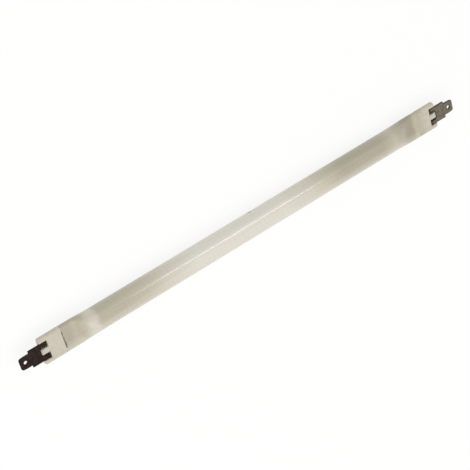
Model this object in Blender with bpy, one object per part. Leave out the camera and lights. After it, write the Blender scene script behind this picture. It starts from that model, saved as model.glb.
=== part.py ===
"""Quartz heating tube: a milky quartz tube with pressed flat ends, a resistance coil, ceramic heads
and forked push-on terminals. Metres, +Z up, X along the tube, origin at the middle of its axis."""

import math

import bmesh
import bpy
from mathutils import Matrix, Vector

# Clearance left between pieces that touch
SEAT_GAP = 0.0003

# Quartz tube
HEAD_TO_HEAD = 0.236
TUBE_DIAMETER = 0.012
TUBE_WALL = 0.001
PRESSED_WIDTH = 0.014
PRESSED_THICKNESS = 0.003
PRESSED_EDGE_RADIUS = 0.0011
PRESSED_WALL = 0.0008
PRESSED_LENGTH = 0.0055
BLEND_LENGTH = 0.012
MOUTH_RIPPLE = 0.0002
MOUTH_WAVES = 5
TUBE_SIDES = 40
BLEND_STEPS = 9

# Ceramic head
HEAD_LENGTH = 0.0115
HEAD_CHAMFER = 0.0004
SPIGOT_LENGTH = 0.0045
GROOVE_CHAMFER = 0.0003

# Terminal, a 6.3 x 0.8 mm tab with a forked tail
PLATE_THICKNESS = 0.0008
TAB_WIDTH = 0.0063
TAB_LENGTH = 0.0055
TAB_CORNER = 0.0012
TIP_CHAMFER = 0.0002
HOLE_DIAMETER = 0.0019
HOLE_SETBACK = 0.0028
BODY_WIDTH = 0.0088
BODY_LENGTH = 0.0056
LEG_WIDTH = 0.0027
LEG_LENGTH = 0.0039
BARB_COUNT = 3
BARB_DEPTH = 0.0010
BARB_POINT = 0.45
BARB_LAND = 0.15
CORNER_STEPS = 5
HOLE_SIDES = 24

# Lead strip, welded under the terminal, and the sleeve that joins it to the coil
STRIP_WIDTH = 0.0012
STRIP_THICKNESS = 0.0004
STRIP_DROP = 0.0001
STRIP_WELD_LENGTH = 0.003
SLEEVE_LENGTH = 0.0046
SLEEVE_WALL = 0.0003
SLEEVE_GRIP = 0.0021
SLEEVE_CRIMP = 0.0001
SLEEVE_SIDES = 20

# Cement behind the head
CEMENT_LENGTH = 0.005
CEMENT_TO_SLEEVE = 0.002
CEMENT_STEPS = 5

# Heating coil
WIRE_DIAMETER = 0.0004
COIL_PITCH = 0.0026
COIL_TAIL_TURN = 0.0035
POINTS_PER_TURN = 10

# How far a cutter reaches past what it cuts
CUT_PAST = 0.001

# Places along the axis, counted from the middle of the tube
head_end = HEAD_TO_HEAD / 2
head_shoulder = head_end - HEAD_LENGTH
tube_end = head_shoulder - SEAT_GAP
press_start = tube_end - PRESSED_LENGTH
blend_start = press_start - BLEND_LENGTH
spigot_end = head_shoulder - SPIGOT_LENGTH
cement_end = spigot_end - SEAT_GAP
cement_start = cement_end - CEMENT_LENGTH
sleeve_end = cement_start - CEMENT_TO_SLEEVE
sleeve_start = sleeve_end - SLEEVE_LENGTH
strip_start = sleeve_end - SLEEVE_GRIP
wire_end = sleeve_start + SLEEVE_GRIP
body_start = head_end + SEAT_GAP
body_end = body_start + BODY_LENGTH
tab_end = body_end + TAB_LENGTH
leg_end = body_start - LEG_LENGTH
strip_end = body_start + STRIP_WELD_LENGTH
coil_end = min(blend_start, sleeve_start - COIL_TAIL_TURN)

# Heights above the axis
strip_top = STRIP_THICKNESS / 2 - STRIP_DROP
plate_bottom = strip_top + SEAT_GAP
plate_top = plate_bottom + PLATE_THICKNESS
groove_floor = plate_bottom - SEAT_GAP
head_top = PRESSED_THICKNESS / 2

# Half widths across the tube
leg_outer = BODY_WIDTH / 2
leg_inner = leg_outer - LEG_WIDTH
channel_half_width = STRIP_WIDTH / 2 + SEAT_GAP

WHITE_QUARTZ = (0.66, 0.64, 0.56)
PALE_STEATITE = (0.62, 0.58, 0.50)
DARK_STEEL = (0.035, 0.025, 0.02)
AGED_NICKEL = (0.2, 0.17, 0.13)
COIL_GREY = (0.12, 0.11, 0.10)
NICKEL = (0.55, 0.52, 0.46)
CEMENT_GREY = (0.5, 0.47, 0.4)


def clear_scene():
    for item in list(bpy.data.objects):
        bpy.data.objects.remove(item, do_unlink=True)


def make_material(name, colour, roughness, metallic=0.0):
    material = bpy.data.materials.new(name)
    material.use_nodes = True
    shader = material.node_tree.nodes["Principled BSDF"]
    shader.inputs["Base Color"].default_value = (*colour, 1.0)
    shader.inputs["Roughness"].default_value = roughness
    shader.inputs["Metallic"].default_value = metallic
    return material


def add_object(name, mesh, parent=None, material=None):
    item = bpy.data.objects.new(name, mesh)
    bpy.context.scene.collection.objects.link(item)
    item.parent = parent
    if material and not mesh.materials:
        mesh.materials.append(material)
    return item


def finish_mesh(builder, name, crease_degrees=35):
    bmesh.ops.recalc_face_normals(builder, faces=builder.faces)
    mesh = bpy.data.meshes.new(name)
    builder.to_mesh(mesh)
    builder.free()
    mesh.shade_smooth()
    mesh.set_sharp_from_angle(angle=math.radians(crease_degrees))
    return mesh


def smooth_step(share):
    share = min(max(share, 0.0), 1.0)
    return share * share * (3 - 2 * share)


def mix(start, end, share):
    return start + (end - start) * share


def rounded_section(half_width, half_height, radius, count):
    """Points spaced evenly round a rounded rectangle, with a flat facet centred at its bottom."""
    radius = min(radius, half_width, half_height)
    flat = half_width - radius
    side = half_height - radius
    arc = math.pi * radius / 2
    quarter = flat + arc + side
    points = []
    for index in range(count):
        along = (index + 0.5) / count * 4
        turn = int(along)
        travelled = (along - turn) * quarter
        if turn % 2:
            travelled = quarter - travelled
        if travelled < flat:
            across, up = travelled, -half_height
        elif travelled < flat + arc:
            angle = (travelled - flat) / radius
            across = flat + radius * math.sin(angle)
            up = -side - radius * math.cos(angle)
        else:
            across, up = half_width, travelled - quarter
        if turn in (1, 2):
            up = -up
        if turn in (2, 3):
            across = -across
        points.append((across, up))
    return points


def tube_section(distance, inset):
    """Section of the quartz at a distance from the middle, made smaller by an inset on every side.

    It goes from the round tube to the pressed flat between blend_start and press_start."""
    share = smooth_step((abs(distance) - blend_start) / BLEND_LENGTH)
    round_radius = TUBE_DIAMETER / 2
    half_width = mix(round_radius, PRESSED_WIDTH / 2, share) - inset
    half_height = mix(round_radius, PRESSED_THICKNESS / 2, share) - inset
    radius = mix(round_radius, PRESSED_EDGE_RADIUS, share) - inset
    return rounded_section(half_width, half_height, max(radius, half_height / 2), TUBE_SIDES)


def wall_at(distance):
    share = smooth_step((abs(distance) - blend_start) / BLEND_LENGTH)
    return mix(TUBE_WALL, PRESSED_WALL, share)


def add_ring(builder, places, section):
    """One ring of vertices; places is a distance along X, or one for each point."""
    if isinstance(places, float):
        places = [places] * len(section)
    return [builder.verts.new((x, y, z)) for x, (y, z) in zip(places, section)]


def join_rings(builder, first, second):
    count = len(first)
    for index in range(count):
        after = (index + 1) % count
        builder.faces.new((first[index], first[after], second[after], second[index]))


def loft(builder, rings, closed=False):
    """Skin over rings; closed joins the last ring to the first, otherwise both ends are capped."""
    for first, second in zip(rings, rings[1:]):
        join_rings(builder, first, second)
    if closed:
        join_rings(builder, rings[-1], rings[0])
    else:
        builder.faces.new(rings[0])
        builder.faces.new(rings[-1])


def add_boolean(item, cutter):
    cut = item.modifiers.new("cut_" + cutter.name, "BOOLEAN")
    cut.operation = "DIFFERENCE"
    cut.solver = "EXACT"
    cut.object = cutter


def add_cutter(name, mesh, parent):
    cutter = add_object(name, mesh, parent)
    cutter.hide_render = True
    cutter.display_type = "WIRE"
    return cutter


def block(builder, low, high):
    """A plain block between two corners."""
    low = Vector(low)
    high = Vector(high)
    place = Matrix.Translation((low + high) / 2) @ Matrix.Diagonal((*(high - low), 1))
    return bmesh.ops.create_cube(builder, size=1, matrix=place)["verts"]


def extrude_outline(builder, outline, along):
    """A closed outline of 3-D points drawn out by a vector into a solid."""
    face = builder.faces.new([builder.verts.new(point) for point in outline])
    drawn = bmesh.ops.extrude_face_region(builder, geom=[face])
    moved = [part for part in drawn["geom"] if isinstance(part, bmesh.types.BMVert)]
    bmesh.ops.translate(builder, verts=moved, vec=along)
    return moved


def quartz_mesh():
    """The tube: drawn round, then both ends pressed flat with an open mouth."""
    builder = bmesh.new()
    steps = [blend_start + BLEND_LENGTH * index / BLEND_STEPS for index in range(BLEND_STEPS + 1)]
    stations = [-x for x in reversed(steps)] + steps
    mouth = tube_section(tube_end, 0)
    ripple = []
    for index in range(TUBE_SIDES):
        wave = math.sin(MOUTH_WAVES * 2 * math.pi * index / TUBE_SIDES)
        ripple.append(tube_end - MOUTH_RIPPLE * (1 + wave) / 2)
    back_ripple = [-x for x in ripple]
    mouth_bore = tube_section(tube_end, wall_at(tube_end))
    rings = [add_ring(builder, back_ripple, mouth)]
    rings += [add_ring(builder, x, tube_section(x, 0)) for x in stations]
    rings += [add_ring(builder, ripple, mouth), add_ring(builder, ripple, mouth_bore)]
    rings += [add_ring(builder, x, tube_section(x, wall_at(x))) for x in reversed(stations)]
    rings.append(add_ring(builder, back_ripple, mouth_bore))
    loft(builder, rings, closed=True)
    return finish_mesh(builder, "quartz_tube")


def coil_curve():
    """The coil wound to the tube's bore, each end brought in to the axis and run to its sleeve."""
    wire_radius = WIRE_DIAMETER / 2
    bore = (TUBE_DIAMETER / 2 - TUBE_WALL) * math.cos(math.pi / TUBE_SIDES)
    coil_radius = bore - SEAT_GAP - wire_radius
    tail_start = coil_end - COIL_TAIL_TURN
    turns = 2 * tail_start / COIL_PITCH
    count = round(turns * POINTS_PER_TURN)
    points = []
    for index in range(count + 1):
        share = index / count
        angle = 2 * math.pi * turns * (share - 0.5)
        points.append((mix(-tail_start, tail_start, share), coil_radius, angle))
    tail = []
    for index in range(1, POINTS_PER_TURN + 1):
        share = index / POINTS_PER_TURN
        angle = math.pi * (turns + share)
        reach = coil_radius * (1 - smooth_step(share))
        tail.append((mix(tail_start, coil_end, share), reach, angle))
    back_tail = [(-x, reach, -angle) for x, reach, angle in reversed(tail)]
    route = []
    for x, reach, angle in back_tail + points + tail:
        drop = STRIP_DROP * (1 - reach / coil_radius)
        route.append((x, reach * math.cos(angle), reach * math.sin(angle) - drop))
    route.insert(0, (-wire_end, 0, -STRIP_DROP))
    route.append((wire_end, 0, -STRIP_DROP))
    curve = bpy.data.curves.new("heating_coil", "CURVE")
    curve.dimensions = "3D"
    curve.bevel_depth = wire_radius
    curve.bevel_resolution = 1
    curve.use_fill_caps = True
    spline = curve.splines.new("POLY")
    spline.points.add(len(route) - 1)
    for point, place in zip(spline.points, route):
        point.co = (*place, 1)
    return curve


def head_mesh():
    """Pressed ceramic head with the tube's flat outline, a chamfered end and a spigot."""
    builder = bmesh.new()
    spigot = tube_section(tube_end, PRESSED_WALL + SEAT_GAP)
    rings = [
        add_ring(builder, spigot_end, spigot),
        add_ring(builder, head_shoulder, spigot),
        add_ring(builder, head_shoulder, tube_section(tube_end, 0)),
        add_ring(builder, head_end - HEAD_CHAMFER, tube_section(tube_end, 0)),
        add_ring(builder, head_end, tube_section(tube_end, HEAD_CHAMFER)),
    ]
    loft(builder, rings)
    return finish_mesh(builder, "ceramic_head")


def groove_cutter_mesh():
    """Two open grooves for the terminal's legs, flared at the top, and the strip's channel."""
    builder = bmesh.new()
    inner = leg_inner - SEAT_GAP
    outer = leg_outer + SEAT_GAP
    flare_start = head_top - GROOVE_CHAMFER
    top = head_top + CUT_PAST
    start = leg_end - SEAT_GAP
    along = Vector((head_end + CUT_PAST - start, 0, 0))
    flare = top - flare_start
    profile = [
        (inner, groove_floor),
        (outer, groove_floor),
        (outer, flare_start),
        (outer + flare, top),
        (inner - flare, top),
        (inner, flare_start),
    ]
    for side in (1, -1):
        extrude_outline(builder, [(start, side * y, z) for y, z in profile], along)
    height = STRIP_THICKNESS / 2 + SEAT_GAP
    low = (spigot_end - CUT_PAST, -channel_half_width, -STRIP_DROP - height)
    high = (head_end + CUT_PAST, channel_half_width, -STRIP_DROP + height)
    block(builder, low, high)
    return finish_mesh(builder, "head_cutter")


def terminal_outline():
    """Half of the stamping, from the tip's middle round to the notch between the legs."""
    half_tab = TAB_WIDTH / 2
    points = []
    for index in range(CORNER_STEPS + 1):
        angle = math.pi / 2 * index / CORNER_STEPS
        x = tab_end - TAB_CORNER + TAB_CORNER * math.cos(angle)
        y = half_tab - TAB_CORNER + TAB_CORNER * math.sin(angle)
        points.append((x, y))
    points += [(body_end, half_tab), (body_end, leg_outer), (leg_end, leg_outer)]
    # Each barb slopes up from its root to a short land, then drops back steeply
    pitch = LEG_LENGTH / (BARB_COUNT + 1)
    root = leg_inner + BARB_DEPTH
    for index in range(BARB_COUNT):
        start = leg_end + pitch * index
        land = start + pitch * BARB_POINT
        points += [(start, root), (land, leg_inner), (land + pitch * BARB_LAND, leg_inner)]
        points.append((land + 2 * pitch * BARB_LAND, root))
    last = leg_end + pitch * BARB_COUNT
    points += [(last, root), (last + pitch * BARB_POINT, leg_inner), (body_start, leg_inner)]
    return points


def terminal_mesh():
    builder = bmesh.new()
    half = terminal_outline()
    outline = half + [(x, -y) for x, y in reversed(half)]
    base = [(x, y, plate_bottom) for x, y in outline]
    extrude_outline(builder, base, Vector((0, 0, PLATE_THICKNESS)))
    tip = tab_end - TAB_CORNER - TIP_CHAMFER / 2
    edges = []
    for edge in builder.edges:
        first, second = (vertex.co for vertex in edge.verts)
        if min(first.x, second.x) > tip and abs(first.z - second.z) < TIP_CHAMFER / 2:
            edges.append(edge)
    bmesh.ops.bevel(builder, geom=edges, offset=TIP_CHAMFER, segments=1, affect="EDGES")
    return finish_mesh(builder, "terminal", crease_degrees=25)


def hole_cutter_mesh():
    builder = bmesh.new()
    middle = (tab_end - HOLE_SETBACK, 0, (plate_bottom + plate_top) / 2)
    bmesh.ops.create_cone(
        builder,
        cap_ends=True,
        segments=HOLE_SIDES,
        radius1=HOLE_DIAMETER / 2,
        radius2=HOLE_DIAMETER / 2,
        depth=PLATE_THICKNESS + 2 * CUT_PAST,
        matrix=Matrix.Translation(middle),
    )
    return finish_mesh(builder, "hole_cutter")


def strip_mesh():
    """Nickel strip from the sleeve, through the head, to the weld under the terminal."""
    builder = bmesh.new()
    half_width = STRIP_WIDTH / 2
    bottom = -STRIP_DROP - STRIP_THICKNESS / 2
    block(builder, (strip_start, -half_width, bottom), (strip_end, half_width, strip_top))
    return finish_mesh(builder, "lead_strip")


def sleeve_mesh():
    """Flat-sided sleeve, squeezed at its middle between the wire and the strip."""
    builder = bmesh.new()
    bore_width = channel_half_width
    bore_height = STRIP_THICKNESS / 2 + SEAT_GAP
    outer_width = bore_width + SLEEVE_WALL
    middle = (sleeve_start + sleeve_end) / 2
    half_squeeze = SLEEVE_LENGTH / 2 - SLEEVE_GRIP
    outline = []
    for x, squeeze in (
        (sleeve_start, 0),
        (middle - 2 * half_squeeze, 0),
        (middle - half_squeeze, SLEEVE_CRIMP),
        (middle + half_squeeze, SLEEVE_CRIMP),
        (middle + 2 * half_squeeze, 0),
        (sleeve_end, 0),
    ):
        height = bore_height + SLEEVE_WALL - squeeze
        section = rounded_section(outer_width, height, height, SLEEVE_SIDES)
        outline.append(add_ring(builder, x, section))
    bore = rounded_section(bore_width, bore_height, bore_height, SLEEVE_SIDES)
    outline += [add_ring(builder, sleeve_end, bore), add_ring(builder, sleeve_start, bore)]
    loft(builder, outline, closed=True)
    bmesh.ops.translate(builder, verts=builder.verts, vec=(0, 0, -STRIP_DROP))
    return finish_mesh(builder, "crimp_sleeve")


def cement_mesh():
    """Cement run in behind the head, shaped by the bore where the flat end opens out."""
    builder = bmesh.new()
    rings = []
    for index in range(CEMENT_STEPS + 1):
        x = mix(cement_start, cement_end, index / CEMENT_STEPS)
        rings.append(add_ring(builder, x, tube_section(x, wall_at(x) + SEAT_GAP)))
    loft(builder, rings)
    return finish_mesh(builder, "cement_plug")


def cement_cutter_mesh():
    builder = bmesh.new()
    height = STRIP_THICKNESS / 2 + SEAT_GAP
    low = (cement_start - CUT_PAST, -channel_half_width, -STRIP_DROP - height)
    high = (cement_end + CUT_PAST, channel_half_width, -STRIP_DROP + height)
    block(builder, low, high)
    return finish_mesh(builder, "cement_cutter")


def main():
    clear_scene()
    quartz = make_material("milky_quartz", WHITE_QUARTZ, 0.35)
    steatite = make_material("steatite", PALE_STEATITE, 0.6)
    coil_alloy = make_material("coil_alloy", COIL_GREY, 0.45, 1.0)
    nickel = make_material("nickel", NICKEL, 0.4, 1.0)
    cement = make_material("cement", CEMENT_GREY, 0.85)
    terminal_finish = {
        "left": make_material("oxidised_steel", DARK_STEEL, 0.5, 0.6),
        "right": make_material("worn_nickel_plate", AGED_NICKEL, 0.45, 0.8),
    }

    add_object("quartz_tube", quartz_mesh(), None, quartz)
    coil = add_object("heating_coil", coil_curve())
    coil.data.materials.append(coil_alloy)

    head = head_mesh()
    grooves = groove_cutter_mesh()
    hole = hole_cutter_mesh()
    strip = strip_mesh()
    sleeve = sleeve_mesh()
    plug = cement_mesh()
    channel = cement_cutter_mesh()

    # Both ends are the same set of pieces, the left one turned half round
    for side, turn in (("right", 0.0), ("left", math.pi)):
        end = bpy.data.objects.new(side + "_end", None)
        bpy.context.scene.collection.objects.link(end)
        end.rotation_euler = (0, 0, turn)
        body = add_object(side + "_head", head, end, steatite)
        add_boolean(body, add_cutter(side + "_head_cutter", grooves, end))
        tab = add_object(side + "_terminal", terminal_mesh(), end, terminal_finish[side])
        add_boolean(tab, add_cutter(side + "_hole_cutter", hole, end))
        add_object(side + "_lead_strip", strip, end, nickel)
        add_object(side + "_crimp_sleeve", sleeve, end, nickel)
        seal = add_object(side + "_cement_plug", plug, end, cement)
        add_boolean(seal, add_cutter(side + "_cement_cutter", channel, end))


main()
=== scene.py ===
import math

import bmesh
import bpy
from mathutils import Matrix, Vector, noise


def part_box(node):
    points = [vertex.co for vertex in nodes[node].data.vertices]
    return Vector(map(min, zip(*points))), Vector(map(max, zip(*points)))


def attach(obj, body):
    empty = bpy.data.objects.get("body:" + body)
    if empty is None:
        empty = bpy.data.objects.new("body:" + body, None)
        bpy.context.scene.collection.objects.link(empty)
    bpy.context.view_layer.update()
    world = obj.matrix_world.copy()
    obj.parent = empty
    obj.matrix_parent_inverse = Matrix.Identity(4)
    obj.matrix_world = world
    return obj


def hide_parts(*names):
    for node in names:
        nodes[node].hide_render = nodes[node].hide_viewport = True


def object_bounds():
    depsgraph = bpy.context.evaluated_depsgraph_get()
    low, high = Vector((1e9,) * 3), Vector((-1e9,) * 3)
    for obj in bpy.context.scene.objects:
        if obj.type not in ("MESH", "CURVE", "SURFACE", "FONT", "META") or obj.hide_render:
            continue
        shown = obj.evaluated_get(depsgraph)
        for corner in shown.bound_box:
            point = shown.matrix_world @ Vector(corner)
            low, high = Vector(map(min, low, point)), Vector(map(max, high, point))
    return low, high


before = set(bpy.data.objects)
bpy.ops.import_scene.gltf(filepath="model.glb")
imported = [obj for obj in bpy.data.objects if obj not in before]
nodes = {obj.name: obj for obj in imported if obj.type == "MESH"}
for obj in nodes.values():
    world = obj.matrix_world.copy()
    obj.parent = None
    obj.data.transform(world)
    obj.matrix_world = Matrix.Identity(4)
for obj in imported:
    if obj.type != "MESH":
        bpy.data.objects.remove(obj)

cadLow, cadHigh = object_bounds()  # the CAD model's box, before any piece is added
mm = 0.001
sharpDegrees = 40  # faces that meet at more than this keep a hard edge
print("stage 1: frame loaded,", len(nodes), "nodes")


# helpers

def hexToLinear(code):
    # undoes the sRGB curve
    channels = [int(code[i:i + 2], 16) / 255 for i in (1, 3, 5)]
    return [c / 12.92 if c <= 0.04045 else ((c + 0.055) / 1.055) ** 2.4 for c in channels] + [1.0]


def addNode(tree, kind, settings, links):
    # a setting is a socket, by name or number, or one of the node's own properties; a string given to a
    # socket is a hex colour, and stops are the places and hex colours of a ramp; where colours are mixed,
    # socket 6 is the one below, 7 the one above and output 2 the result
    node = tree.nodes.new(kind)
    for name, value in settings.items():
        if name == "stops":
            ramp = node.color_ramp
            while len(ramp.elements) < len(value):
                ramp.elements.new(1.0)
            for element, (place, code) in zip(ramp.elements, value):
                element.position = place
                element.color = hexToLinear(code)
        elif isinstance(name, int) or name in node.inputs:
            node.inputs[name].default_value = hexToLinear(value) if isinstance(value, str) else value
        else:
            setattr(node, name, value)
    for name, source in links.items():
        tree.links.new(source, node.inputs[name])
    return node


def newMaterial(name):
    material = bpy.data.materials.new(name)
    material.use_nodes = True
    material.node_tree.nodes.clear()
    return material, material.node_tree


def placeInMm(tree):
    # every pattern is laid out in the part's own millimetres
    place = addNode(tree, "ShaderNodeTexCoord", {}, {}).outputs["Object"]
    enlarged = {"operation": "SCALE", "Scale": 1 / mm}
    return addNode(tree, "ShaderNodeVectorMath", enlarged, {0: place}).outputs[0]


def closeMaterial(tree, look, colour, height):
    # every surface ends in its bump and one shader
    bump = addNode(tree, "ShaderNodeBump", look["bump"], {"Height": height}).outputs[0]
    surface = {"Base Color": colour, "Normal": bump}
    shader = addNode(tree, "ShaderNodeBsdfPrincipled", look["shader"], surface)
    addNode(tree, "ShaderNodeOutputMaterial", {}, {0: shader.outputs[0]})


def mix(start, end, share):
    return start + (end - start) * share


def spaced(start, end, steps):
    return [mix(start, end, i / steps) for i in range(steps + 1)]


def smoothStep(share):
    share = min(max(share, 0.0), 1.0)
    return share * share * (3 - 2 * share)


def addPiece(name, builder, material):
    bmesh.ops.recalc_face_normals(builder, faces=builder.faces)
    mesh = bpy.data.meshes.new(name)
    builder.to_mesh(mesh)
    builder.free()
    mesh.shade_smooth()
    mesh.set_sharp_from_angle(angle=math.radians(sharpDegrees))
    piece = bpy.data.objects.new(name, mesh)
    bpy.context.scene.collection.objects.link(piece)
    mesh.materials.append(material)
    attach(piece, "root")
    return piece


def dressNode(name, material):
    node = nodes[name]
    node.data.materials.clear()
    node.data.materials.append(material)


def standAt(place, right, back):
    # stands at place, turned so that back lies behind it and right on its right side
    back = Vector(back).normalized()
    right = Vector(right)
    right = (right - back * back.dot(right)).normalized()
    return Matrix.Translation(place) @ Matrix((right, back.cross(right), back)).transposed().to_4x4()


# milky fused quartz, drawn to a tube: white in the middle and darker tan towards both ends, with tiny
# bubbles drawn out into fine streaks, a satin skin and a faint slanted shade from the coil inside; the zones
# also hold painted highlights and painted shade on the slopes from round to flat

quartz = {
    "milk": "#D6D2C6",
    "haze": "#CAC4B4",
    "sand": "#BAB4A0",
    "tan": "#B2AC97",
    "smoke": "#A9A28E",
    "slopeShade": "#9A937E",
    "burn": "#6E6A5C",
    "zones": (  # millimetres along the tube from its middle, and the tone there
        # painted light in these zones: the lighter band from -92.5 to -90 mm is a painted highlight on the
        # left slope from round to flat, the lighter stop at 88 mm a painted highlight where the right slope
        # begins, and the darkest ring from 98 to 102.5 mm is painted shade on the right slope
        (-106.2, "smoke"), (-102.5, "smoke"), (-100.5, "tan"), (-98, "smoke"),
        (-95.5, "tan"), (-92.5, "haze"), (-90, "haze"), (-87.5, "tan"),
        (-75, "tan"), (-62, "sand"), (-50, "haze"), (-34, "milk"),
        (18, "milk"), (36, "haze"), (46, "sand"), (56, "smoke"),
        (81, "smoke"), (88, "sand"), (94, "smoke"), (98, "slopeShade"),
        (102.5, "slopeShade"), (104.5, "tan"), (106.2, "tan"),
    ),
    "zoneEdgeMm": 6.0,  # size of the noise that moves the edges between them
    "zoneDriftMm": 4.0,  # how far it moves them
    "litSideDirection": (0.0, -0.833, 0.553),  # direction, away from the axis, of the side that faces the lamp
    "litSideFade": {"From Min": 2.5, "From Max": 6.5, "To Min": 0.0, "To Max": 0.75},  # painted light: mm towards the side that faces the lamp, and how much paler it is painted there
    "burnPlaceMm": (2.8, 5.8, -1.5),
    "burnSizeMm": (1.25, 0.9, 0.9),
    "burnFade": {"From Min": 0.5, "From Max": 1.1, "To Min": 0.85, "To Max": 0.0},  # shares of the size
    "streakLengthMm": 28.0,
    "streakWidthMm": 0.9,
    "streakTone": {"From Min": 0.3, "From Max": 0.7, "To Min": 0.94, "To Max": 1.05},
    "coilPitchMm": 2.6,
    "coilFade": {"From Min": 81.0, "From Max": 84.0, "To Min": 0.012, "To Max": 0.0},  # mm from the middle
    "bump": {"Strength": 0.25, "Distance": 0.05 * mm},
    "shader": {"Roughness": 0.38, "IOR": 1.46, "Coat Weight": 0.6, "Coat Roughness": 0.1, "Coat IOR": 1.46},
}


def zoneColour(tree, inMm, along):
    # slow noise moves the edges of the zones, so that they are not straight rings
    slow = {"Scale": 1 / quartz["zoneEdgeMm"], "Detail": 3.0}
    drift = addNode(tree, "ShaderNodeTexNoise", slow, {0: inMm}).outputs["Fac"]
    reach = quartz["zoneDriftMm"]
    moving = {"operation": "MULTIPLY_ADD", 1: reach}
    moved = addNode(tree, "ShaderNodeMath", moving, {0: drift, 2: along}).outputs[0]
    half = quartz["zones"][-1][0]
    shifting = {"operation": "ADD", 1: half - reach / 2}
    fromEnd = addNode(tree, "ShaderNodeMath", shifting, {0: moved}).outputs[0]
    share = addNode(tree, "ShaderNodeMath", {"operation": "DIVIDE", 1: 2 * half}, {0: fromEnd}).outputs[0]
    stops = [((x + half) / (2 * half), quartz[tone]) for x, tone in quartz["zones"]]
    return addNode(tree, "ShaderNodeValToRGB", {"stops": stops}, {0: share}).outputs[0]


def paintedLitSide(tree, inMm, colour):
    # painted light: the side that faces the lamp, above and towards -Y, is painted paler all along the tube
    facing = {"operation": "DOT_PRODUCT", 1: quartz["litSideDirection"]}
    side = addNode(tree, "ShaderNodeVectorMath", facing, {0: inMm}).outputs["Value"]
    pale = addNode(tree, "ShaderNodeMapRange", quartz["litSideFade"], {0: side}).outputs[0]
    haze = {"data_type": "RGBA", 7: quartz["haze"]}
    return addNode(tree, "ShaderNodeMix", haze, {0: pale, 6: colour}).outputs[2]


def burntSpot(tree, inMm, colour):
    # one spot burnt on the skin near the middle
    sizes = quartz["burnSizeMm"]
    toSpot = {
        "operation": "MULTIPLY_ADD",
        1: [1 / size for size in sizes],
        2: [-place / size for place, size in zip(quartz["burnPlaceMm"], sizes)],
    }
    away = addNode(tree, "ShaderNodeVectorMath", toSpot, {0: inMm}).outputs[0]
    far = addNode(tree, "ShaderNodeVectorMath", {"operation": "LENGTH"}, {0: away}).outputs["Value"]
    burnt = addNode(tree, "ShaderNodeMapRange", quartz["burnFade"], {0: far}).outputs[0]
    burn = {"data_type": "RGBA", 7: quartz["burn"]}
    return addNode(tree, "ShaderNodeMix", burn, {0: burnt, 6: colour}).outputs[2]


def drawnStreaks(tree, inMm):
    # noise stretched along the tube
    across = 1 / quartz["streakWidthMm"]
    stretch = {"operation": "MULTIPLY", 1: (1 / quartz["streakLengthMm"], across, across)}
    drawn = addNode(tree, "ShaderNodeVectorMath", stretch, {0: inMm}).outputs[0]
    fine = {"Scale": 1.0, "Detail": 4.0, "Roughness": 0.6}
    return addNode(tree, "ShaderNodeTexNoise", fine, {0: drawn}).outputs["Fac"]


def coilShade(tree, axes):
    # one band for each turn of the coil, slanted as it winds, fading out where the coil ends
    angle = addNode(tree, "ShaderNodeMath", {"operation": "ARCTAN2"}, {0: axes[2], 1: axes[1]}).outputs[0]
    winding = {"operation": "MULTIPLY", 1: 2 * math.pi / quartz["coilPitchMm"]}
    turn = addNode(tree, "ShaderNodeMath", winding, {0: axes[0]}).outputs[0]
    phase = addNode(tree, "ShaderNodeMath", {"operation": "SUBTRACT"}, {0: turn, 1: angle}).outputs[0]
    wave = addNode(tree, "ShaderNodeMath", {"operation": "COSINE"}, {0: phase}).outputs[0]
    away = addNode(tree, "ShaderNodeMath", {"operation": "ABSOLUTE"}, {0: axes[0]}).outputs[0]
    depth = addNode(tree, "ShaderNodeMapRange", quartz["coilFade"], {0: away}).outputs[0]
    return addNode(tree, "ShaderNodeMath", {"operation": "MULTIPLY"}, {0: wave, 1: depth}).outputs[0]


def makeQuartz():
    material, tree = newMaterial("milkyQuartz")
    inMm = placeInMm(tree)
    axes = addNode(tree, "ShaderNodeSeparateXYZ", {}, {0: inMm}).outputs
    tone = burntSpot(tree, inMm, paintedLitSide(tree, inMm, zoneColour(tree, inMm, axes[0])))
    streak = drawnStreaks(tree, inMm)
    light = addNode(tree, "ShaderNodeMapRange", quartz["streakTone"], {0: streak}).outputs[0]
    shade = coilShade(tree, axes)
    light = addNode(tree, "ShaderNodeMath", {"operation": "SUBTRACT"}, {0: light, 1: shade}).outputs[0]
    lit = {0: tone, "Scale": light}
    colour = addNode(tree, "ShaderNodeVectorMath", {"operation": "SCALE"}, lit).outputs[0]
    closeMaterial(tree, quartz, colour, streak)
    return material


# steatite, pressed and fired, unglazed: chalky off-white with faint mottling and fine dark specks

steatite = {
    "mottle": ((0.35, "#BDB6A6"), (0.6, "#C3BDAE")),
    "mottleMm": 2.2,
    "smear": "#B2AB96",
    "smearFade": {"From Min": 107.5, "From Max": 111.5, "To Min": 0.9, "To Max": 0.0},  # mm from the middle
    "smearDriftMm": 3.0,  # how uneven its edge is
    "speck": "#8F8674",
    "speckMm": 0.5,
    "speckFade": {"From Min": 0.7, "From Max": 0.78, "To Min": 0.0, "To Max": 0.5},
    "grainMm": 0.18,
    "bump": {"Strength": 0.35, "Distance": 0.06 * mm},
    "shader": {"Roughness": 0.72, "IOR": 1.55},
}


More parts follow.
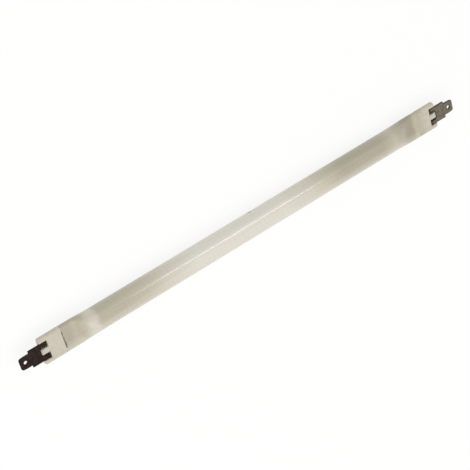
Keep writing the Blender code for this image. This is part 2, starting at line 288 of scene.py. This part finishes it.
def rubbedCement(tree, inMm, mottle, colour):
    # cement rubbed over the joint of the right head, fading outwards to an uneven edge
    along = addNode(tree, "ShaderNodeSeparateXYZ", {}, {0: inMm}).outputs[0]
    drift = {"operation": "MULTIPLY_ADD", 1: steatite["smearDriftMm"]}
    uneven = addNode(tree, "ShaderNodeMath", drift, {0: mottle, 2: along}).outputs[0]
    fade = dict(steatite["smearFade"])
    fade["From Min"] += steatite["smearDriftMm"] / 2
    fade["From Max"] += steatite["smearDriftMm"] / 2
    rubbed = addNode(tree, "ShaderNodeMapRange", fade, {0: uneven}).outputs[0]
    onRight = addNode(tree, "ShaderNodeMath", {"operation": "GREATER_THAN", 1: 0.0}, {0: along}).outputs[0]
    rubbed = addNode(tree, "ShaderNodeMath", {"operation": "MULTIPLY"}, {0: rubbed, 1: onRight}).outputs[0]
    smear = {"data_type": "RGBA", 7: steatite["smear"]}
    return addNode(tree, "ShaderNodeMix", smear, {0: rubbed, 6: colour}).outputs[2]


def makeSteatite():
    material, tree = newMaterial("steatite")
    inMm = placeInMm(tree)
    cloudy = {"Scale": 1 / steatite["mottleMm"], "Detail": 3.0}
    mottle = addNode(tree, "ShaderNodeTexNoise", cloudy, {0: inMm}).outputs["Fac"]
    colour = addNode(tree, "ShaderNodeValToRGB", {"stops": steatite["mottle"]}, {0: mottle}).outputs[0]
    colour = rubbedCement(tree, inMm, mottle, colour)
    dotted = {"Scale": 1 / steatite["speckMm"], "Detail": 2.0}
    dots = addNode(tree, "ShaderNodeTexNoise", dotted, {0: inMm}).outputs["Fac"]
    few = addNode(tree, "ShaderNodeMapRange", steatite["speckFade"], {0: dots}).outputs[0]
    speck = {"data_type": "RGBA", 7: steatite["speck"]}
    colour = addNode(tree, "ShaderNodeMix", speck, {0: few, 6: colour}).outputs[2]
    chalky = {"Scale": 1 / steatite["grainMm"], "Detail": 3.0}
    grain = addNode(tree, "ShaderNodeTexNoise", chalky, {0: inMm}).outputs["Fac"]
    closeMaterial(tree, steatite, colour, grain)
    return material


# the metals: each has a face tone with patches in it, and a darker tone along its edges, which is painted
# shade

everyMetal = {
    "patchPlaces": (0.4, 0.65),  # where in the noise the face tone ends and the patches are full
    "edgeShadeSamples": 6,  # enough for smooth painted edge shade in the render
    "edgeShadeFade": {"From Min": 0.995, "From Max": 0.9, "To Min": 0.0, "To Max": 1.0},  # cosine of the turn
}
oxidisedSteel = {  # stamped steel scaled by heat: near black brown, dull
    "name": "oxidisedSteel",
    "face": "#2B201A",
    "patch": "#3A2B23",
    "edgeShade": "#1A1210",
    "patchMm": 1.8,
    "edgeShadeMm": 0.35,
    "bump": {"Strength": 0.5, "Distance": 0.04 * mm},
    "shader": {"Metallic": 0.85, "Roughness": 0.55},
}
wornNickelPlate = {  # dull plating on stamped steel, with painted shade along its edges and darker on its feet
    "name": "wornNickelPlate",
    "face": "#787060",
    "patch": "#645B4D",
    "edgeShade": "#3B2F1D",
    "patchMm": 1.4,
    "edgeShadeMm": 1.0,
    "footFade": {"From Min": 115.2, "From Max": 116.4, "To Min": 0.85, "To Max": 0.0},  # mm from the middle
    "bump": {"Strength": 0.5, "Distance": 0.03 * mm},
    "shader": {"Metallic": 0.6, "Roughness": 0.5},
}
nickelStrip = {  # rolled nickel: soft grey, slightly yellow
    "name": "rolledNickel",
    "face": "#A9A294",
    "patch": "#938B7C",
    "edgeShade": "#7A7264",
    "patchMm": 1.2,
    "edgeShadeMm": 0.15,
    "bump": {"Strength": 0.5, "Distance": 0.02 * mm},
    "shader": {"Metallic": 1.0, "Roughness": 0.4},
}
coilAlloy = {  # drawn resistance wire after its first heat: even grey oxide
    "name": "coilAlloy",
    "face": "#5C5751",
    "patch": "#47423D",
    "edgeShade": "#3A3531",
    "patchMm": 2.5,
    "edgeShadeMm": 0.05,
    "bump": {"Strength": 0.5, "Distance": 0.01 * mm},
    "shader": {"Metallic": 0.8, "Roughness": 0.5},
}


def makeMetal(metal):
    material, tree = newMaterial(metal["name"])
    inMm = placeInMm(tree)
    blotchy = {"Scale": 1 / metal["patchMm"], "Detail": 4.0}
    patches = addNode(tree, "ShaderNodeTexNoise", blotchy, {0: inMm}).outputs["Fac"]
    stops = list(zip(everyMetal["patchPlaces"], (metal["face"], metal["patch"])))
    colour = addNode(tree, "ShaderNodeValToRGB", {"stops": stops}, {0: patches}).outputs[0]
    # painted shade: the edges are darkened where a rounded edge would turn away from the flat face
    rounding = {"samples": everyMetal["edgeShadeSamples"], "Radius": metal["edgeShadeMm"] * mm}
    rounded = addNode(tree, "ShaderNodeBevel", rounding, {}).outputs[0]
    flat = addNode(tree, "ShaderNodeNewGeometry", {}, {}).outputs["Normal"]
    turned = addNode(tree, "ShaderNodeVectorMath", {"operation": "DOT_PRODUCT"}, {0: rounded, 1: flat})
    edgeShade = addNode(tree, "ShaderNodeMapRange", everyMetal["edgeShadeFade"], {0: turned.outputs["Value"]}).outputs[0]
    dark = {"data_type": "RGBA", 7: metal["edgeShade"]}
    colour = addNode(tree, "ShaderNodeMix", dark, {0: edgeShade, 6: colour}).outputs[2]
    if "footFade" in metal:
        # the feet nearest the tube are darkened to the same tone as the painted edge shade
        along = addNode(tree, "ShaderNodeSeparateXYZ", {}, {0: inMm}).outputs[0]
        burnt = addNode(tree, "ShaderNodeMapRange", metal["footFade"], {0: along}).outputs[0]
        colour = addNode(tree, "ShaderNodeMix", dark, {0: burnt, 6: colour}).outputs[2]
    closeMaterial(tree, metal, colour, patches)
    return material


# refractory cement, wiped in wet: grainy, matt, warm grey

cement = {
    "grain": ((0.3, "#AFA894"), (0.55, "#BAB4A1")),
    "grainMm": 0.5,
    # painted shade, for where the cement lies deep in the joint
    "deepShade": "#857C6B",
    "shadeBelowMm": 1.15,
    "shadeHalfMm": 4.6,
    "bump": {"Strength": 0.6, "Distance": 0.1 * mm},
    "shader": {"Roughness": 0.9, "IOR": 1.5},
}


def makeCement():
    material, tree = newMaterial("refractoryCement")
    inMm = placeInMm(tree)
    gritty = {"Scale": 1 / cement["grainMm"], "Detail": 4.0}
    grain = addNode(tree, "ShaderNodeTexNoise", gritty, {0: inMm}).outputs["Fac"]
    colour = addNode(tree, "ShaderNodeValToRGB", {"stops": cement["grain"]}, {0: grain}).outputs[0]
    # painted shade: darker where it lies deep in the joint
    axes = addNode(tree, "ShaderNodeSeparateXYZ", {}, {0: inMm}).outputs
    height = addNode(tree, "ShaderNodeMath", {"operation": "ABSOLUTE"}, {0: axes[2]}).outputs[0]
    width = addNode(tree, "ShaderNodeMath", {"operation": "ABSOLUTE"}, {0: axes[1]}).outputs[0]
    below = {"operation": "LESS_THAN", 1: cement["shadeBelowMm"]}
    within = {"operation": "LESS_THAN", 1: cement["shadeHalfMm"]}
    deep = addNode(tree, "ShaderNodeMath", below, {0: height}).outputs[0]
    inner = addNode(tree, "ShaderNodeMath", within, {0: width}).outputs[0]
    shadedShare = addNode(tree, "ShaderNodeMath", {"operation": "MULTIPLY"}, {0: deep, 1: inner}).outputs[0]
    deepShade = {"data_type": "RGBA", 7: cement["deepShade"]}
    colour = addNode(tree, "ShaderNodeMix", deepShade, {0: shadedShare, 6: colour}).outputs[2]
    closeMaterial(tree, cement, colour, grain)
    return material


quartzFinish = makeQuartz()
steatiteFinish = makeSteatite()
cementFinish = makeCement()
leftMetal = makeMetal(oxidisedSteel)
rightMetal = makeMetal(wornNickelPlate)
stripMetal = makeMetal(nickelStrip)
coilMetal = makeMetal(coilAlloy)
print("stage 2: materials made")


# the quartz tube, drawn round and pressed flat at both ends, a finer skin for the solid of the same sizes

tube = {
    "pressedThicknessMm": 3.0,
    "edgeRadiusMm": 1.1,
    "wallMm": 1.0,
    "pressedWallMm": 0.8,
    "pressedMm": 5.5,  # length of the flat
    "blendMm": 12.0,  # and of the way from round to flat
    "sides": 96,
    "blendSteps": 28,
    "pressedSteps": 10,
    "middleSteps": 60,
    "boreSteps": 12,
    "waveMm": 0.015,  # mean depth of the skin's waves
    "waveLengthMm": 20.0,
    "waveWidthMm": 4.0,
    "dishMm": 0.12,  # depth of the hollow in each pressed face
    "rippleMm": 0.2,  # depth of the bays in the mouth's edge
    "rippleWidthMm": 2.6,
    "rippleSeed": 3.7,  # makes the two mouths differ
    "brokenMm": 0.6,  # depth of the bays over the open joint
}
bead = {
    "gapMm": 0.3,  # between the mouth and the head's shoulder
    "clearMm": 0.01,  # kept free on both sides of the cement
    "depthMm": 0.75,  # how far in it reaches
    "flushMm": 0.01,  # how far it lies below the tube's skin
    "sunkMm": 0.55,  # and how much further where the joint is open
    "openHalfMm": 4.2,  # half the width of that stretch
}
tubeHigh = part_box("quartz_tube")[1]
tubeRadius = tubeHigh.z
tubeEnd = tubeHigh.x
pressStart = tubeEnd - tube["pressedMm"] * mm
blendStart = pressStart - tube["blendMm"] * mm


def roundedSection(halfWidth, halfHeight, radius, count):
    # points round a rectangle with rounded corners, one quarter after another from the middle below
    radius = min(radius, halfWidth, halfHeight)
    flat = halfWidth - radius
    side = halfHeight - radius
    arc = math.pi * radius / 2
    quarter = flat + arc + side
    points = []
    for index in range(count):
        along = (index + 0.5) / count * 4
        turn = int(along)
        travelled = (along - turn) * quarter
        if turn % 2:
            travelled = quarter - travelled
        if travelled < flat:
            across, up = travelled, -halfHeight
        elif travelled < flat + arc:
            angle = (travelled - flat) / radius
            across = flat + radius * math.sin(angle)
            up = -side - radius * math.cos(angle)
        else:
            across, up = halfWidth, travelled - quarter
        if turn in (1, 2):
            up = -up
        if turn in (2, 3):
            across = -across
        points.append((across, up))
    return points


def pressedShare(distance):
    # 0 where the tube is round, 1 where it is pressed flat
    return smoothStep((abs(distance) - blendStart) / (tube["blendMm"] * mm))


def tubeSection(distance, inset):
    share = pressedShare(distance)
    halfWidth = mix(tubeRadius, tubeHigh.y, share) - inset
    halfHeight = mix(tubeRadius, tube["pressedThicknessMm"] / 2 * mm, share) - inset
    radius = mix(tubeRadius, tube["edgeRadiusMm"] * mm, share) - inset
    # the corners keep half the height as their least radius, also far inside the wall
    return roundedSection(halfWidth, halfHeight, max(radius, halfHeight / 2), tube["sides"])


def dishAt(distance, y):
    # the press leaves the broad faces a little hollow
    return tube["dishMm"] * mm * pressedShare(distance) * max(0, 1 - (y / tubeHigh.y) ** 2)


def jointOpenAt(side, y, z):
    # the left end's upper face has lost the cement over its middle
    return side < 0 and z > 0 and abs(y) < bead["openHalfMm"] * mm


def mouthLine(side):
    # the mouth is broken off and fire-softened, so its edge wanders, and most so over the open joint
    width = tube["rippleWidthMm"] * mm
    line = []
    for y, z in tubeSection(tubeEnd, 0):
        wander = noise.noise(Vector((y / width, z / width, tube["rippleSeed"] * side))) + 0.5
        bay = tube["brokenMm"] if jointOpenAt(side, y, z) else tube["rippleMm"]
        line.append(side * (tubeEnd - bay * mm * min(max(wander, 0), 1)))
    return line


def outerRing(builder, distance, line=None):
    # the skin wanders a little, as drawn and pressed quartz does, always inward
    length = tube["waveLengthMm"] * mm
    width = tube["waveWidthMm"] * mm
    ring = []
    for index, (y, z) in enumerate(tubeSection(distance, 0)):
        wander = noise.noise(Vector((distance / length, y / width, z / width))) + 1
        pulled = 1 - tube["waveMm"] * mm * wander / math.hypot(y, z)
        dish = math.copysign(dishAt(distance, y), z)
        ring.append(builder.verts.new((line[index] if line else distance, y * pulled, z * pulled - dish)))
    return ring


def boreRing(builder, distance, line=None):
    wall = mix(tube["wallMm"], tube["pressedWallMm"], pressedShare(distance)) * mm
    section = tubeSection(distance, wall)
    return [builder.verts.new((line[i] if line else distance, y, z)) for i, (y, z) in enumerate(section)]


def joinRings(builder, rings):
    # the last ring joins the first, so the skin closes on itself
    for first, second in zip(rings, rings[1:] + rings[:1]):
        for index in range(len(first)):
            after = (index + 1) % len(first)
            builder.faces.new((first[index], first[after], second[after], second[index]))


def buildTube():
    builder = bmesh.new()
    pressed = spaced(blendStart, pressStart, tube["blendSteps"])
    pressed += spaced(pressStart, tubeEnd, tube["pressedSteps"])[1:-1]
    middle = spaced(-blendStart, blendStart, tube["middleSteps"])[1:-1]
    rings = [outerRing(builder, -tubeEnd, mouthLine(-1))]
    rings += [outerRing(builder, x) for x in [-x for x in pressed[::-1]] + middle + pressed]
    rings.append(outerRing(builder, tubeEnd, mouthLine(1)))
    bore = spaced(blendStart, tubeEnd, tube["boreSteps"])[:-1]
    rings.append(boreRing(builder, tubeEnd, mouthLine(1)))
    rings += [boreRing(builder, x) for x in bore[::-1] + [-x for x in bore]]
    rings.append(boreRing(builder, -tubeEnd, mouthLine(-1)))
    joinRings(builder, rings)
    piece = addPiece("milky_quartz_tube", builder, quartzFinish)
    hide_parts("quartz_tube")


def buildBead(name, side):
    # cement wiped flush into the joint between mouth and head; where it has fallen out of the left end's
    # upper face it lies sunk, which leaves a wavy dark line, its own shadow deepened by painted shade
    builder = bmesh.new()
    shoulder = tubeEnd + bead["gapMm"] * mm - bead["clearMm"] * mm
    mouth = mouthLine(side)
    rings = []
    for depth, atMouth in ((0, True), (0, False), (bead["depthMm"], False), (bead["depthMm"], True)):
        ring = []
        for index, (y, z) in enumerate(tubeSection(tubeEnd, (depth + bead["flushMm"]) * mm)):
            x = mouth[index] + side * bead["clearMm"] * mm if atMouth else side * shoulder
            if depth == 0 and atMouth:
                z -= math.copysign(dishAt(tubeEnd, y), z)
            if depth == 0 and jointOpenAt(side, y, z):
                z -= bead["sunkMm"] * mm
            ring.append(builder.verts.new((x, y, z)))
        rings.append(ring)
    joinRings(builder, rings)
    addPiece(name, builder, cementFinish)


buildTube()
buildBead("right_joint_cement", 1)
buildBead("left_joint_cement", -1)
print("stage 3: quartz tube and its joints built")


# the other nodes keep their solids

for side in ("left", "right"):
    dressNode(side + "_head", steatiteFinish)
    dressNode(side + "_lead_strip", stripMetal)
    dressNode(side + "_crimp_sleeve", stripMetal)
    dressNode(side + "_cement_plug", cementFinish)
dressNode("left_terminal", leftMetal)
dressNode("right_terminal", rightMetal)
dressNode("heating_coil", coilMetal)
print("stage 4: nodes dressed")


# studio: a pale floor, a white world behind, one soft lamp and one for the bright line along the tube

studio = {
    "floorHalf": 3.0,  # metres from its middle to each edge
    "floorColour": "#F4F3F0",
    "whiteShare": 0.86,  # how far the floor is plain white to the camera; the rest of it takes the shadow
    "worldStrength": 0.84,
}
softKey = {  # a soft lamp that lights the surface and shows in no reflection
    "name": "softKey",
    "place": (-0.50, -0.38, 1.0),
    "size": (0.9, 0.9),
    "watts": 5.2,
    "lights": True,
    "shines": False,
}
slimLamp = {  # a slim one that shows as the bright line along the quartz and lights nothing
    "name": "slimLamp",
    "place": (0.215, 0.352, 0.437),
    "size": (0.174, 0.06),
    "watts": 0.38,
    "lights": False,
    "shines": True,
}


def seenRays(tree):
    # 1 for what the camera sees, straight or by reflection or through glass, and 0 for what only lights
    rays = addNode(tree, "ShaderNodeLightPath", {}, {}).outputs
    either = {"operation": "MAXIMUM"}
    straight = {0: rays["Is Camera Ray"], 1: rays["Is Glossy Ray"]}
    seen = addNode(tree, "ShaderNodeMath", either, straight).outputs[0]
    through = {0: seen, 1: rays["Is Transmission Ray"]}
    return addNode(tree, "ShaderNodeMath", either, through).outputs[0]


def buildFloor():
    size = studio["floorHalf"]
    builder = bmesh.new()
    corners = [(-size, -size), (size, -size), (size, size), (-size, size)]
    builder.faces.new([builder.verts.new((x, y, cadLow.z)) for x, y in corners])
    mesh = bpy.data.meshes.new("paleFloor")
    builder.to_mesh(mesh)
    builder.free()
    floor = bpy.data.objects.new("paleFloor", mesh)
    bpy.context.scene.collection.objects.link(floor)
    material, tree = newMaterial("paleFloor")
    paint = addNode(tree, "ShaderNodeBsdfDiffuse", {"Color": studio["floorColour"]}, {}).outputs[0]
    white = addNode(tree, "ShaderNodeEmission", {"Color": "#FFFFFF", "Strength": 1.0}, {}).outputs[0]
    whitening = {"operation": "MULTIPLY", 1: studio["whiteShare"]}
    share = addNode(tree, "ShaderNodeMath", whitening, {0: seenRays(tree)}).outputs[0]
    shader = addNode(tree, "ShaderNodeMixShader", {}, {0: share, 1: paint, 2: white})
    addNode(tree, "ShaderNodeOutputMaterial", {}, {0: shader.outputs[0]})
    mesh.materials.append(material)


def buildWorld():
    world = bpy.data.worlds.new("whiteRoom")
    bpy.context.scene.world = world
    world.use_nodes = True
    tree = world.node_tree
    tree.nodes.clear()
    lit = {"To Min": studio["worldStrength"], "To Max": 1.0}
    strength = addNode(tree, "ShaderNodeMapRange", lit, {0: seenRays(tree)}).outputs[0]
    sky = addNode(tree, "ShaderNodeBackground", {"Color": "#FFFFFF"}, {"Strength": strength})
    addNode(tree, "ShaderNodeOutputWorld", {}, {0: sky.outputs[0]})


def addLamp(lamp):
    # aimed at the middle of the tube, with its width along the tube
    data = bpy.data.lights.new(lamp["name"], "AREA")
    data.shape = "RECTANGLE"
    data.size, data.size_y = lamp["size"]
    data.energy = lamp["watts"]
    item = bpy.data.objects.new(lamp["name"], data)
    item.matrix_world = standAt(lamp["place"], (1, 0, 0), lamp["place"])
    item.visible_camera = False
    item.visible_diffuse = lamp["lights"]
    item.visible_glossy = lamp["shines"]
    bpy.context.scene.collection.objects.link(item)


buildFloor()
buildWorld()
addLamp(softKey)
addLamp(slimLamp)
print("stage 5: studio set")


# camera, above and beyond the left end, rolled so that the tube lies across the picture's diagonal

camera = {
    "place": (-0.29944, 0.38493, 0.57937),
    "right": (0.78911, -0.24882, 0.56160),  # the way its right side points
    "back": (-0.38572, 0.51081, 0.76830),  # the way its back points
    "lens": 122.55,
    "sensor": 36.0,
    "nearest": 0.01,
    "farthest": 20.0,
}


def buildCamera():
    data = bpy.data.cameras.new("camera")
    data.lens = camera["lens"]
    data.sensor_width = camera["sensor"]
    data.clip_start = camera["nearest"]
    data.clip_end = camera["farthest"]
    item = bpy.data.objects.new("camera", data)
    item.matrix_world = standAt(camera["place"], camera["right"], camera["back"])
    bpy.context.scene.collection.objects.link(item)
    bpy.context.scene.camera = item


buildCamera()
bpy.context.scene.view_settings.view_transform = "Standard"
print("stage 6: camera set")
